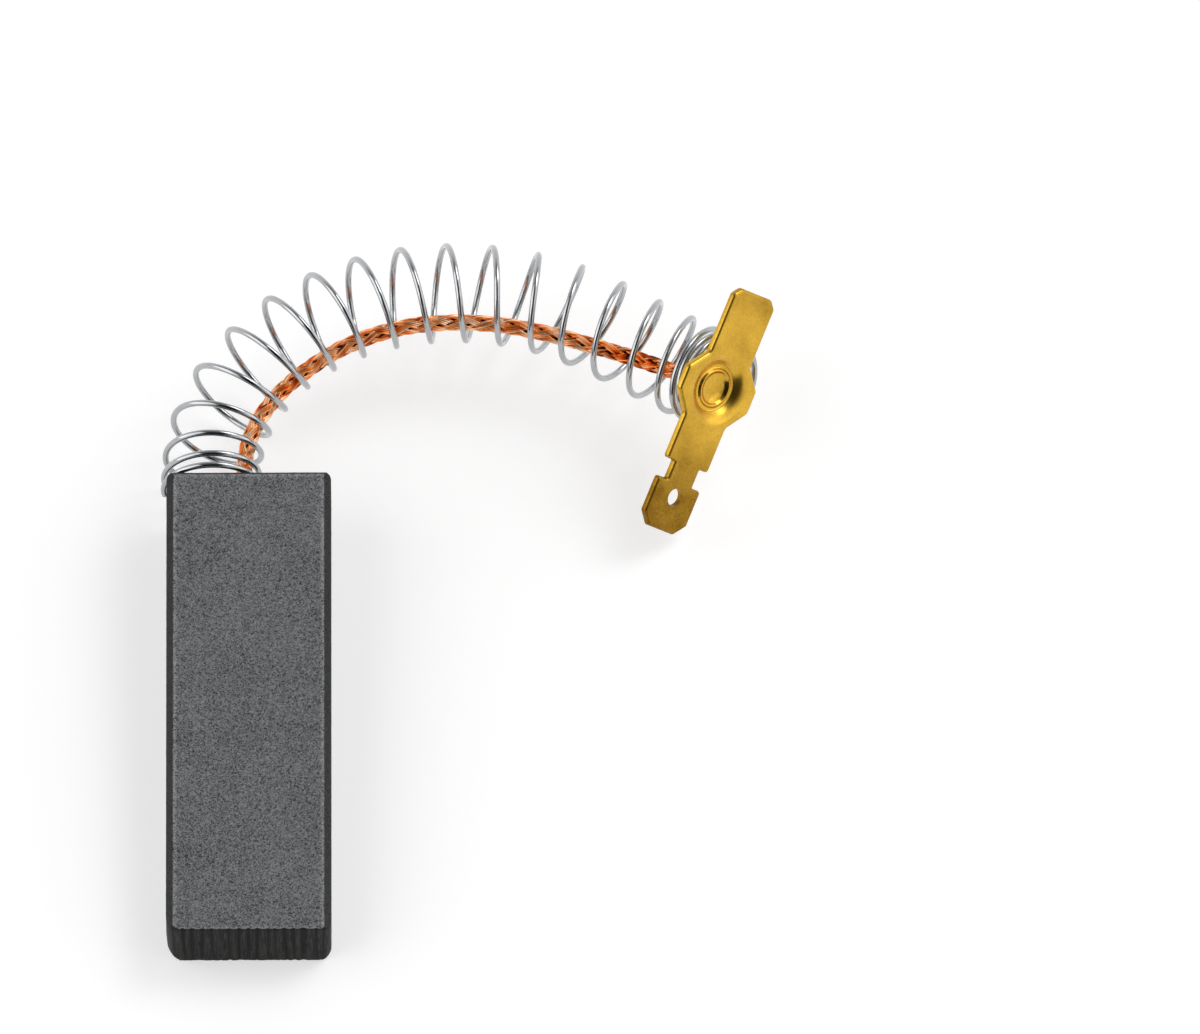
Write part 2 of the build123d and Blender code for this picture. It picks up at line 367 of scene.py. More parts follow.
column = {0: centred[0], 1: -0.5, 2: column[0]}
column = add(tree, "ShaderNodeMath", column, operation="MULTIPLY_ADD")
# Every other bundle winds the other way
parity = add(tree, "ShaderNodeMath", {0: bundle[0], 1: 2.0}, operation="MODULO")
way = add(tree, "ShaderNodeMath", {0: parity[0], 1: 2.0, 2: -1.0}, operation="MULTIPLY_ADD")
length = add(tree, "GeometryNodeSplineParameter")["Length"]
turns = add(tree, "ShaderNodeMath", {0: length, 1: size["Pitch"]}, operation="DIVIDE")
turn = add(tree, "ShaderNodeMath", {0: turns[0], 1: 2 * math.pi}, operation="MULTIPLY")
wound = add(tree, "ShaderNodeMath", {0: turn[0], 1: way[0]}, operation="MULTIPLY")
pair = add(tree, "ShaderNodeMath", {0: bundle[0], 1: parity[0]}, operation="SUBTRACT")
placed = add(tree, "ShaderNodeMath", {0: 2 * math.pi, 1: size["Bundles"]}, operation="DIVIDE")
wound = {0: pair[0], 1: placed[0], 2: wound[0]}
wound = add(tree, "ShaderNodeMath", wound, operation="MULTIPLY_ADD")
beside = {0: size["Strand Radius"], 1: strand_spacing}
beside = add(tree, "ShaderNodeMath", beside, operation="MULTIPLY")
beside = add(tree, "ShaderNodeMath", {0: beside[0], 1: size["Braid Radius"]}, operation="DIVIDE")
angle = {0: column[0], 1: beside[0], 2: wound[0]}
angle = add(tree, "ShaderNodeMath", angle, operation="MULTIPLY_ADD")
# Over and under: the bundles that wind one way rise where the others dip
crossings = add(tree, "ShaderNodeMath", {0: size["Bundles"], 1: 2.0}, operation="DIVIDE")
wave = add(tree, "ShaderNodeMath", {0: turn[0], 1: crossings[0]}, operation="MULTIPLY")
wave = add(tree, "ShaderNodeMath", {0: wave[0]}, operation="COSINE")
wave = add(tree, "ShaderNodeMath", {0: wave[0], 1: way[0]}, operation="MULTIPLY")
radius = {0: wave[0], 1: size["Lift"], 2: size["Braid Radius"]}
radius = add(tree, "ShaderNodeMath", radius, operation="MULTIPLY_ADD")
layer = add(tree, "ShaderNodeMath", {0: inner[0], 1: size["Strand Radius"]}, operation="MULTIPLY")
radius = {0: layer[0], 1: -layer_spacing, 2: radius[0]}
radius = add(tree, "ShaderNodeMath", radius, operation="MULTIPLY_ADD")
normal = add(tree, "GeometryNodeInputNormal")
tangent = add(tree, "GeometryNodeInputTangent")
spoke = {"Vector": normal[0], "Axis": tangent[0], "Angle": angle[0]}
spoke = add(tree, "ShaderNodeVectorRotate", spoke)
spoke = add(tree, "ShaderNodeVectorMath", {0: spoke[0], "Scale": radius[0]}, operation="SCALE")
# The strands don't lie quite true
along = add(tree, "ShaderNodeMath", {0: length, 1: 1 / stray_length}, operation="MULTIPLY")
apart = add(tree, "ShaderNodeMath", {0: strands[1], 1: stray_apart}, operation="MULTIPLY")
spot = add(tree, "ShaderNodeCombineXYZ", {0: along[0], 1: apart[0], 2: bundle[0]})
stray = add(tree, "ShaderNodeTexNoise", {"Vector": spot[0], "Scale": 1.0, "Detail": 1.0})
stray = add(tree, "ShaderNodeVectorMath", {0: stray[1], 1: (0.5, 0.5, 0.5)}, operation="SUBTRACT")
stray = add(tree, "ShaderNodeVectorMath", {0: stray[0], "Scale": size["Jitter"]}, operation="SCALE")
offset = add(tree, "ShaderNodeVectorMath", {0: spoke[0], 1: stray[0]})
laid = add(tree, "GeometryNodeSetPosition", {"Geometry": strands[0], "Offset": offset[0]})
# How high a wire stands out of the braid, up to 1, from which the copper's painted highlight and
# painted shade are drawn
standing = add(tree, "ShaderNodeMath", {0: wave[0], 1: 0.5, 2: 0.5}, operation="MULTIPLY_ADD")
sunk = {0: inner[0], 1: -inner_painted_shade, 2: standing[0]}
sunk = add(tree, "ShaderNodeMath", sunk, operation="MULTIPLY_ADD")
laid = add(
    tree,
    "GeometryNodeStoreNamedAttribute",
    {"Geometry": laid[0], "Name": "rise", "Value": sunk[0]},
    data_type="FLOAT",
    domain="POINT",
)
random = add(tree, "FunctionNodeRandomValue", {"ID": strands[1], "Seed": 4}, data_type="FLOAT")
laid = add(
    tree,
    "GeometryNodeStoreNamedAttribute",
    {"Geometry": laid[0], "Name": "strand", "Value": random[1]},
    data_type="FLOAT",
    domain="POINT",
)
ring = {"Resolution": strand_sides, "Radius": size["Strand Radius"]}
ring = add(tree, "GeometryNodeCurvePrimitiveCircle", ring)
copper_rope = {"Curve": laid[0], "Profile Curve": ring[0], "Fill Caps": True}
copper_rope = add(tree, "GeometryNodeCurveToMesh", copper_rope)
# Wires deep inside the rope, which only show between the bundles; having no rise of their own,
# their copper is painted dark, as the shade there
core = add(tree, "ShaderNodeMath", {0: size["Braid Radius"], 1: size["Lift"]}, operation="SUBTRACT")
core = add(tree, "GeometryNodeCurvePrimitiveCircle", {"Resolution": core_sides, "Radius": core[0]})
core = {"Curve": middle[0], "Profile Curve": core[0], "Fill Caps": True}
core = add(tree, "GeometryNodeCurveToMesh", core)
copper_rope = add(tree, "GeometryNodeJoinGeometry", {0: copper_rope[0]})
tree.links.new(core[0], copper_rope[0].node.inputs[0])
copper_rope = add(tree, "GeometryNodeSetShadeSmooth", {0: copper_rope[0]})
copper_rope = add(tree, "GeometryNodeRealizeInstances", {0: copper_rope[0]})
copper_rope = {0: copper_rope[0], "Material": size["Material"]}
copper_rope = add(tree, "GeometryNodeSetMaterial", copper_rope)
add(tree, "NodeGroupOutput", {0: copper_rope[0]})

shunt = grow("shunt_braid", tree, shunt_line, braid_sizes)
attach(shunt, "root")
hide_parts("shunt")

# Carbon block
# Pressed and baked carbon graphite, ground on its two broad faces. Its sides and bevels are painted
# darker than the faces, and its contact end darker still, as painted shade. The contact end has
# bedding grooves, and its edges are worn and ragged.
voxel = 0.13 * MM
grain = 0.22 * MM
groove_spacing, groove_reach, groove_depth = 0.7 * MM, 0.2 * MM, 0.13 * MM
corner_lean = 0.22 * MM  # how far the left corner of the contact end is worn in, at the back
long_bevel, rear_bevel = 0.54 * MM, 0.3 * MM
left_corner, right_corner = 1.2 * MM, 0.8 * MM  # radii of the contact end's corners
even_groove_depth = 0.12 * MM
slack = 0.01 * MM
wear_reach, wear_depth = 0.4 * MM, 0.07 * MM
corner_reach = 2 * MM  # how far from that corner the wear reaches
relief = 0.008 * MM  # of the grain on all faces
rim_width = 0.3 * MM
speck, cloud = 0.12 * MM, 4 * MM

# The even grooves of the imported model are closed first
block_copy = bmesh.new()
block_copy.from_mesh(frame["nodes"]["carbon_block"].data)
bmesh.ops.remove_doubles(block_copy, verts=block_copy.verts, dist=0.001 * MM)
grooves_from = block_low.x + left_corner + slack
grooves_to = block_high.x - right_corner - slack
for vertex in block_copy.verts:
    at_end = vertex.co.y < block_low.y + even_groove_depth + slack
    if at_end and grooves_from < vertex.co.x < grooves_to:
        vertex.co.y = block_low.y
host = new_piece("block_host", bpy.data.meshes.new("block_host"))
block_copy.to_mesh(host.data)
remesh = host.modifiers.new("remesh", "REMESH")
remesh.mode = "VOXEL"
remesh.voxel_size = voxel
block_mesh = bpy.data.meshes.new_from_object(
    host.evaluated_get(bpy.context.evaluated_depsgraph_get())
)
bpy.data.objects.remove(host)
block_mesh.name = "carbon_body"
points = np.empty(len(block_mesh.vertices) * 3)
block_mesh.vertices.foreach_get("co", points)
points = points.reshape(-1, 3)
normals = np.empty(len(points) * 3)
block_mesh.vertices.foreach_get("normal", normals)
normals = normals.reshape(-1, 3)


def roughness_at(points, size, seed):
    """Smooth noise between -1 and 1 at each point, for features of a given size."""
    shift = Vector((seed, 2 * seed, 3 * seed))
    return np.array([noise.noise(Vector(p) / size + shift) for p in points])


half_width = (block_high.x - block_low.x) / 2
from_side = half_width - np.abs(points[:, 0])
from_face = np.minimum(points[:, 2] - block_low.z, block_high.z - points[:, 2])
from_contact = points[:, 1] - block_low.y
from_rear = block_high.y - points[:, 1]
ragged = roughness_at(points * (1, 1, 0.15), 0.33 * MM, 5.0)
coarse = roughness_at(points, 0.9 * MM, 11.0)
fine = roughness_at(points, 0.3 * MM, 17.0)
# Uneven valleys up the contact end, deeper towards the face that shows
drift = roughness_at(points * (1, 0, 0.12), 1.1 * MM, 23.0)
depths = roughness_at(points * (1, 0, 0.2), 1.6 * MM, 29.0)
phase = points[:, 0] / groove_spacing + 0.45 * drift
valley = np.clip(1 - np.abs(phase - np.round(phase)) * groove_spacing / groove_reach, 0, 1)
climb = np.clip((points[:, 2] - block_low.z) / (block_high.z - block_low.z), 0, 1)
valley *= (0.35 + 0.65 * climb) * np.clip(0.75 + depths, 0.15, 1.2) * groove_depth
valley *= np.clip(1 - from_contact / wear_reach, 0, 1)
points[:, 1] += valley
lean = corner_lean * (1 - climb) * np.clip(1 - from_contact / corner_reach, 0, 1)
points[:, 0] += lean * np.clip(1 - (points[:, 0] - block_low.x) / corner_reach, 0, 1)
worn = np.clip(1 - np.maximum(from_contact, from_face) / wear_reach, 0, 1)
push = relief * coarse + relief * fine
push -= wear_depth * worn * np.clip(ragged + 0.25, 0, 1)
points += normals * push[:, None]
block_mesh.vertices.foreach_set("co", points.ravel())
# Shares, by the way the surface faces and by its distance from the edges
ground = np.clip((np.abs(normals[:, 2]) - 0.85) / 0.12, 0, 1)
contact = np.clip((-normals[:, 1] - 0.3) / 0.4, 0, 1)
edge = np.minimum(from_side - long_bevel, np.minimum(from_contact, from_rear - rear_bevel))
rim = np.clip(1 - np.abs(edge) / rim_width, 0, 1) * ground
shares = {"ground": ground, "contact": contact, "rim": rim, "valley": valley / groove_depth}
for name, values in shares.items():
    share = block_mesh.attributes.new(name, "FLOAT", "POINT")
    share.data.foreach_set("value", values.astype(np.float32))
for polygon in block_mesh.polygons:
    polygon.use_smooth = True
block_mesh.update()

# Carbon graphite: grey with dark and pale grains, with painted shade on the sides and bevels and
# the darkest painted shade on the contact end
carbon_finish, tree, shader = finish_of(
    "pressed_carbon_graphite", {"Roughness": 0.6, "Specular IOR Level": 0.15}
)
place = add(tree, "ShaderNodeTexCoord")["Object"]
contact_end = add(tree, "ShaderNodeAttribute", attribute_name="contact")["Fac"]
# On the contact end the grain is drawn out up the end, as the bedding runs
squash = add(tree, "ShaderNodeMapRange", {"Value": contact_end, "To Min": 1.0, "To Max": 0.07})
squash = add(tree, "ShaderNodeCombineXYZ", {0: 1.0, 1: 1.0, 2: squash[0]})
drawn_out = add(tree, "ShaderNodeVectorMath", {0: place, 1: squash[0]}, operation="MULTIPLY")[0]
worms = {"Vector": drawn_out, "Scale": 1 / grain, "Detail": 2, "Distortion": 1.0}
worms = add(tree, "ShaderNodeTexNoise", worms)
worms = add(tree, "ShaderNodeMath", {0: worms[0], 1: 0.5}, operation="SUBTRACT")
worms = add(tree, "ShaderNodeMath", {0: worms[0]}, operation="ABSOLUTE")
worms = {"Value": worms[0], "From Max": 0.1, "To Min": 0.35, "To Max": 0.0}
worms = add(tree, "ShaderNodeMapRange", worms)
specks = add(tree, "ShaderNodeTexNoise", {"Vector": drawn_out, "Scale": 1 / speck, "Detail": 3})
clouds = add(tree, "ShaderNodeTexNoise", {"Vector": place, "Scale": 1 / cloud, "Detail": 3})
tone = add(tree, "ShaderNodeMath", {0: specks[0], 1: 0.8, 2: worms[0]}, operation="MULTIPLY_ADD")
tone = add(tree, "ShaderNodeMath", {0: clouds[0], 1: 0.15, 2: tone[0]}, operation="MULTIPLY_ADD")
tone = add(tree, "ShaderNodeMapRange", {"Value": tone[0], "From Min": 0.38, "From Max": 0.86})
# The ground faces, the sides with their bevels, and the end, each from dark grains to pale ones;
# the sides and the end are painted darker, as shade
shades = (("#323335", "#88898C"), ("#1C1C1C", "#3C3D3D"), ("#040404", "#333331"))
mixes = [{"Factor": tone[0], 6: linear(dark), 7: linear(pale)} for dark, pale in shades]
face, side, end = [add(tree, "ShaderNodeMix", mix, data_type="RGBA")[2] for mix in mixes]
flat = add(tree, "ShaderNodeAttribute", attribute_name="ground")["Fac"]
# Painted shade: the valleys of the grooves on the contact end are painted nearly black
hollow = add(tree, "ShaderNodeAttribute", attribute_name="valley")["Fac"]
hollow = add(tree, "ShaderNodeMath", {0: hollow, 1: 2.2}, operation="MULTIPLY", use_clamp=True)
end = {"Factor": hollow[0], 6: end, 7: linear("#020202")}
end = add(tree, "ShaderNodeMix", end, data_type="RGBA")
colour = add(tree, "ShaderNodeMix", {"Factor": flat, 6: side, 7: face}, data_type="RGBA")
colour = add(tree, "ShaderNodeMix", {"Factor": contact_end, 6: colour[2], 7: end[2]}, data_type="RGBA")
# Painted highlight: a pale line along the worn rims of the broad faces, broken up by the grain
rim_mask = add(tree, "ShaderNodeAttribute", attribute_name="rim")["Fac"]
painted_rim_highlight = add(tree, "ShaderNodeMath", {0: rim_mask, 1: tone[0]}, operation="MULTIPLY")
painted_rim_highlight = add(tree, "ShaderNodeMath", {0: painted_rim_highlight[0], 1: 1.5}, operation="MULTIPLY", use_clamp=True)
colour = {"Factor": painted_rim_highlight[0], 6: colour[2], 7: linear("#9A9B9C")}
colour = add(tree, "ShaderNodeMix", colour, data_type="RGBA")
tree.links.new(colour[2], shader.inputs["Base Color"])
bump = add(tree, "ShaderNodeBump", {"Height": tone[0], "Distance": 0.03 * MM, "Strength": 0.5})
tree.links.new(bump[0], shader.inputs["Normal"])

block = new_piece("carbon_body", block_mesh)
block_mesh.materials.append(carbon_finish)
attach(block, "root")
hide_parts("carbon_block")

# Tamped powder
# Copper powder, pressed into the hole round the shunt: dull, dark and granular.
powder_grain = 0.12 * MM  # coarser than real powder, which is too fine to show
powder_finish, tree, shader = finish_of("tamped_copper_powder", {"Metallic": 0.6, "Roughness": 0.7})
place = add(tree, "ShaderNodeTexCoord")["Object"]
grains = add(tree, "ShaderNodeTexVoronoi", {"Vector": place, "Scale": 1 / powder_grain})
powder = {"Factor": grains[0], 6: linear("#9A5530"), 7: linear("#4A2A1A")}
powder = add(tree, "ShaderNodeMix", powder, data_type="RGBA")
tree.links.new(powder[2], shader.inputs["Base Color"])
bump = add(tree, "ShaderNodeBump", {"Height": grains[0], "Distance": 0.05 * MM, "Strength": 0.8})
tree.links.new(bump[0], shader.inputs["Normal"])
plug = frame["nodes"]["tamping_plug"]
plug.data.materials.clear()
plug.data.materials.append(powder_finish)

# Spring
# Compression spring of bright drawn steel wire, with closed coils at both ends. It lies slack and
# bent over to the right, and its coils fan out round the outside of the bend.
wire_radius = 0.24 * MM
coil_radius = 3.6 * MM
spring_turns = 19.6
first_gap, last_gap = 0.2 * MM, 0.06 * MM
first_blend, last_blend = 3.6, 4.75  # turns over which the pitch opens, from each end
start_angle = math.radians(168)
seat_gap = 0.02 * MM  # between an end coil and what it bears on
shunt_gap = 0.28 * MM  # between the shunt and the inside of the first coil
coil_drop = 1.0 * MM  # how far the middle of the first coil lies below the block's
last_straight = 1.0 * MM
boss_shift_across, boss_shift_along = -0.7 * MM, 0.5 * MM  # of the last coil from the dimple
points_per_turn = 60
wire_sides = 20
dull_patch = 1.2 * MM
# Points of its middle line, in mm from the middle of the block's rear end
axis_offsets = [
    (-2.15, 5.7, -0.85),
    (3.3, 12.3, 0.85),
    (10.1, 15.35, 1.25),
    (17.1, 16.06, 1.15),
    (23.95, 14.66, 0.95),
    (30.25, 11.25, 1.15),
]

lift = wire_radius + seat_gap
coil_shift = shunt_offsets[0][0] * MM + shunt_diameter / 2 + shunt_gap - (coil_radius - wire_radius)
axis_end = mouth - strip_normal * (strip_thickness + lift)
axis_end += strip_across * boss_shift_across + strip_length * boss_shift_along
knots = [rear_centre + Vector((coil_shift, lift, -coil_drop))]
knots += [rear_centre + Vector(offset) * MM for offset in axis_offsets]
knots.append(axis_end - strip_normal * last_straight)


def smooth_handles(knots, first, last):
    """Directions at the knots that make a cubic spline through them, given those at its ends."""
    gaps = [(b - a).length for a, b in zip(knots, knots[1:])]
    rates = [(b - a) / gap for a, b, gap in zip(knots, knots[1:], gaps)]
    matrix = np.eye(len(knots))
    wanted = np.zeros((len(knots), 3))
    wanted[0], wanted[-1] = first, last
    for i in range(1, len(knots) - 1):
        matrix[i, i - 1 : i + 2] = gaps[i], 2 * (gaps[i - 1] + gaps[i]), gaps[i - 1]
        wanted[i] = 3 * (rates[i - 1] * gaps[i] + rates[i] * gaps[i - 1])
    return [Vector(row) for row in np.linalg.solve(matrix, wanted)], gaps


slopes, gaps = smooth_handles(knots, Vector((0, 1, 0)), strip_normal)
axis_curve = bpy.data.curves.new("spring_axis", "CURVE")
axis_curve.dimensions = "3D"
axis_spline = axis_curve.splines.new("BEZIER")
axis_spline.bezier_points.add(len(knots))
axis_spline.resolution_u = 40
for i, point in enumerate(axis_spline.bezier_points):
    knot = knots[i] if i < len(knots) else axis_end
    heading = slopes[i] if i < len(knots) else strip_normal
    before = gaps[i - 1] if 0 < i < len(knots) else last_straight
    after = gaps[i] if i < len(gaps) else last_straight
    point.co = knot
    point.handle_left = knot - heading * before / 3
    point.handle_right = knot + heading * after / 3

# Spring steel, drawn bright: a cool grey metal that is a little duller in places
steel_finish, tree, shader = finish_of("drawn_spring_steel", {"Metallic": 1.0, "Roughness": 0.22})
place = add(tree, "ShaderNodeTexCoord")["Object"]
dulled = add(tree, "ShaderNodeTexNoise", {"Vector": place, "Scale": 1 / dull_patch, "Detail": 4})
steel = {"Factor": dulled[0], 6: linear("#B9BBBD"), 7: linear("#A8AAAD")}
steel = add(tree, "ShaderNodeMix", steel, data_type="RGBA")
tree.links.new(steel[2], shader.inputs["Base Color"])
gloss = {"Value": dulled[0], "From Min": 0.3, "From Max": 0.7, "To Min": 0.1, "To Max": 0.2}
gloss = add(tree, "ShaderNodeMapRange", gloss)
tree.links.new(gloss[0], shader.inputs["Roughness"])

spring_sizes = {
    "Turns": spring_turns,
    "Points": round(spring_turns * points_per_turn) + 1,
    "Coil Radius": coil_radius,
    "Wire Radius": wire_radius,
    "First Pitch": 2 * wire_radius + first_gap,
    "Last Pitch": 2 * wire_radius + last_gap,
    "First Blend": first_blend,
    "Last Blend": last_blend,
    "Start": start_angle,
    "Material": steel_finish,
}
tree, size = growing_tree("coil", spring_sizes)
axis = add(tree, "GeometryNodeMeshToCurve", {0: size["Geometry"]})
reach = add(tree, "GeometryNodeCurveLength", {0: axis[0]})
wire = add(tree, "GeometryNodeMeshLine", {"Count": size["Points"]})
wire = add(tree, "GeometryNodeMeshToCurve", {0: wire[0]})
index = add(tree, "GeometryNodeInputIndex")
steps = add(tree, "ShaderNodeMath", {0: size["Points"], 1: 1.0}, operation="SUBTRACT")
step = add(tree, "ShaderNodeMath", {0: size["Turns"], 1: steps[0]}, operation="DIVIDE")
turn = add(tree, "ShaderNodeMath", {0: index[0], 1: step[0]}, operation="MULTIPLY")
# The pitch at each point is a mix of two closed pitches and an open one, which fills the axis
closing = {"Value": turn[0], "From Max": size["First Blend"], "To Min": 1.0, "To Max": 0.0}
first = add(tree, "ShaderNodeMapRange", closing, interpolation_type="SMOOTHSTEP")
start = add(tree, "ShaderNodeMath", {0: size["Turns"], 1: size["Last Blend"]}, operation="SUBTRACT")
closing = {"Value": turn[0], "From Min": start[0], "From Max": size["Turns"]}
last = add(tree, "ShaderNodeMapRange", closing, interpolation_type="SMOOTHSTEP")
closed = add(tree, "ShaderNodeMath", {0: first[0], 1: size["First Pitch"]}, operation="MULTIPLY")
closed = {0: last[0], 1: size["Last Pitch"], 2: closed[0]}
closed = add(tree, "ShaderNodeMath", closed, operation="MULTIPLY_ADD")
both = add(tree, "ShaderNodeMath", {0: first[0], 1: last[0]}, operation="ADD")
opened = add(tree, "ShaderNodeMath", {0: 1.0, 1: both[0]}, operation="SUBTRACT")
closed = add(tree, "GeometryNodeAccumulateField", {0: closed[0]}, domain="POINT")
opened = add(tree, "GeometryNodeAccumulateField", {0: opened[0]}, domain="POINT")
whole = add(tree, "ShaderNodeMath", {0: reach[0], 1: step[0]}, operation="DIVIDE")
spare = add(tree, "ShaderNodeMath", {0: whole[0], 1: closed["Total"]}, operation="SUBTRACT")
pitch = add(tree, "ShaderNodeMath", {0: spare[0], 1: opened["Total"]}, operation="DIVIDE")
place = {0: opened["Trailing"], 1: pitch[0], 2: closed["Trailing"]}
place = add(tree, "ShaderNodeMath", place, operation="MULTIPLY_ADD")
place = add(tree, "ShaderNodeMath", {0: place[0], 1: step[0]}, operation="MULTIPLY")
centre = {"Curves": axis[0], "Length": place[0]}
centre = add(tree, "GeometryNodeSampleCurve", centre, mode="LENGTH")
side = {0: centre["Tangent"], 1: (0, 0, 1)}
side = add(tree, "ShaderNodeVectorMath", side, operation="CROSS_PRODUCT")
side = add(tree, "ShaderNodeVectorMath", {0: side[0]}, operation="NORMALIZE")
spoke = {0: side[0], "Scale": size["Coil Radius"]}
spoke = add(tree, "ShaderNodeVectorMath", spoke, operation="SCALE")
angle = {0: turn[0], 1: 2 * math.pi, 2: size["Start"]}
angle = add(tree, "ShaderNodeMath", angle, operation="MULTIPLY_ADD")
spoke = {"Vector": spoke[0], "Axis": centre["Tangent"], "Angle": angle[0]}
spoke = add(tree, "ShaderNodeVectorRotate", spoke)
spot = add(tree, "ShaderNodeVectorMath", {0: centre["Position"], 1: spoke[0]})
wire = add(tree, "GeometryNodeSetPosition", {"Geometry": wire[0], "Position": spot[0]})
ring = {"Resolution": wire_sides, "Radius": size["Wire Radius"]}
ring = add(tree, "GeometryNodeCurvePrimitiveCircle", ring)
coil = {"Curve": wire[0], "Profile Curve": ring[0], "Fill Caps": True}
coil = add(tree, "GeometryNodeCurveToMesh", coil)
coil = add(tree, "GeometryNodeSetShadeSmooth", {0: coil[0]})
coil = add(tree, "GeometryNodeRealizeInstances", {0: coil[0]})
coil = add(tree, "GeometryNodeSetMaterial", {0: coil[0], "Material": size["Material"]})
add(tree, "NodeGroupOutput", {0: coil[0]})

spring = grow("spring_wire", tree, line_of(axis_curve), spring_sizes)
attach(spring, "root")
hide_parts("spring")

# Terminal
# Strip brass, blanked to shape in a press and drawn to a dimple, with a rolled-over edge on the
# side that the punch met and a sharper one on the other.
dimple_mouth, dimple_floor = 2.45 * MM, 1.62 * MM
boss_mouth, boss_floor = 2.5 * MM, 1.67 * MM
dimple_round = 0.45 * MM  # how far the wall's bends reach, along the strip
rivet_hole_radius = 1.08 * MM
tab_hole_radius = 0.7 * MM
edge_round = 0.26 * MM
edge_steps = 6
flat_from = 1.02  # where the flat face starts, in radii of the edge
rivet_hole_points, tab_hole_points = 72, 48
dimple_rings, dimple_ring_step = 15, 0.13 * MM
bend_samples = 8  # on each side of a bend's middle
smooth_below = math.radians(50)
# Along the strip from the dimple, where the painted shade on the tab and on the arm starts and is
# full, and how strong it gets
tab_shade, arm_shade = (-2.5 * MM, -9 * MM, 0.75), (4.5 * MM, 7.8 * MM, 0.3)
brass_patch, brass_speck = 2.5 * MM, 0.2 * MM
rolling_mark = 0.15 * MM  # wider than the real marks, which are too fine to show
# Half of the outline, in mm: distance from the tab's tip, half width and corner radius
half_outline = [
    (0, 1.4, 0.3),
    (0.95, 2.375, 0.28),
    (3.82, 2.375, 0.27),
    (3.82, 1.4, 0.15),
    (5.32, 1.4, 0.15),
    (5.32, 2.3, 0.27),
    (8.95, 2.3, 0.6),
    (10.6, 3.85, 0.5),
    (12.45, 3.85, 0.5),
    (14.0, 2.3, 0.6),
    (18.75, 2.3, 0.5),
    (19.35, 1.65, 0.4),
]
dimple_place = 11.55  # from the tab's tip, in mm
arc_steps = 6


def rounded(corners):
    """Closed outline round (x, y, radius) corners, with an arc at each of them."""
    outline = []
    for i, (x, y, radius) in enumerate(corners):
        here = Vector((x, y))
        before = (Vector(corners[i - 1][:2]) - here).normalized()
        after = (Vector(corners[(i + 1) % len(corners)][:2]) - here).normalized()
        half = before.angle(after) / 2
        centre = here + (before + after).normalized() * (radius / math.sin(half))
        first = (here + before * (radius / math.tan(half)) - centre).normalized()
        last = (here + after * (radius / math.tan(half)) - centre).normalized()
        for step in range(arc_steps + 1):
            outline.append(centre + first.slerp(last, step / arc_steps) * radius)
    return outline


def circle(x, y, radius, count):
    angles = [2 * math.pi * i / count for i in range(count)]
    return [Vector((x + radius * math.cos(a), y + radius * math.sin(a))) for a in angles]


def inset(outline, distance):
    """The outline's points, each moved inwards, square to the line through its neighbours."""
    moved = []
    for i, point in enumerate(outline):
        way = (outline[(i + 1) % len(outline)] - outline[i - 1]).normalized()
        moved.append(point + Vector((way.y, -way.x)) * distance)
    return moved


def drawn(radius, wide, narrow):
    """Depth of a drawn wall as a share of the whole: a straight cone with a bend at either end."""
    spots = [radius + dimple_round * (i / bend_samples - 1) for i in range(2 * bend_samples + 1)]
    return sum(min(max((wide - spot) / (wide - narrow), 0), 1) for spot in spots) / len(spots)


corners = [((s - dimple_place) * MM, w * MM, r * MM) for s, w, r in half_outline]
corners += [(x, -y, r) for x, y, r in reversed(corners)]
outline = rounded(corners)
# Closed loops, each with its step of the rounding. The outline is repeated further in for every
# step, and once more where the flat face starts, which keeps its shading flat.
loops = [
    (outline, 0),
    (circle(0, 0, rivet_hole_radius, rivet_hole_points), edge_steps),
    (circle(-dimple_from_hole, 0, tab_hole_radius, tab_hole_points), edge_steps),
]
for i in range(1, edge_steps + 1):
    loops.append((inset(outline, edge_round * (1 - math.cos(math.pi / 2 * i / edge_steps))), i))
loops.append((inset(outline, edge_round * flat_from), edge_steps))
flat_points, round_steps, borders = [], [], []
for loop, round_step in loops:
    first = len(flat_points)
    borders += [(first + i, first + (i + 1) % len(loop)) for i in range(len(loop))]
    flat_points += loop
    round_steps += [round_step] * len(loop)
for i in range(1, dimple_rings + 1):
    flat_points += circle(0, 0, rivet_hole_radius + i * dimple_ring_step, rivet_hole_points)
    round_steps += [edge_steps] * rivet_hole_points
flat_points, _, triangles, origins, _, _ = delaunay_2d_cdt(flat_points, borders, [], 1, 1e-7)
drops = []
for sources in origins:
    rounded_off = round_steps[min(sources)] / edge_steps
    drops.append(edge_round * (1 - math.sin(math.pi / 2 * rounded_off)))
strip_mesh = bmesh.new()
layers = []
for face_height, wide, narrow in (
    (0, dimple_mouth, dimple_floor),
    (-strip_thickness, boss_mouth, boss_floor),
):
    layer = []
    for point, drop in zip(flat_points, drops):
        height = face_height - dimple_depth * drawn(point.length, wide, narrow)
        height -= drop if face_height == 0 else 0
        layer.append(strip_mesh.verts.new((point.x, point.y, height)))
    layers.append(layer)
hole_centre = Vector((-dimple_from_hole, 0))
for a, b, c in triangles:
    middle = (flat_points[a] + flat_points[b] + flat_points[c]) / 3
    if middle.length > rivet_hole_radius and (middle - hole_centre).length > tab_hole_radius:
        strip_mesh.faces.new([layers[0][i] for i in (a, b, c)])
        strip_mesh.faces.new([layers[1][i] for i in (c, b, a)])
partner = dict(zip(layers[0], layers[1]))
for border in [e for e in strip_mesh.edges if e.is_boundary and e.verts[0] in partner]:
    a, b = border.verts
    strip_mesh.faces.new((a, b, partner[b], partner[a]))
loose = [v for v in strip_mesh.verts if not v.link_faces]
bmesh.ops.delete(strip_mesh, geom=loose, context="VERTS")
bmesh.ops.recalc_face_normals(strip_mesh, faces=strip_mesh.faces)
to_strip = Matrix((strip_length, strip_across, strip_normal)).transposed().to_4x4()
to_strip.translation = mouth
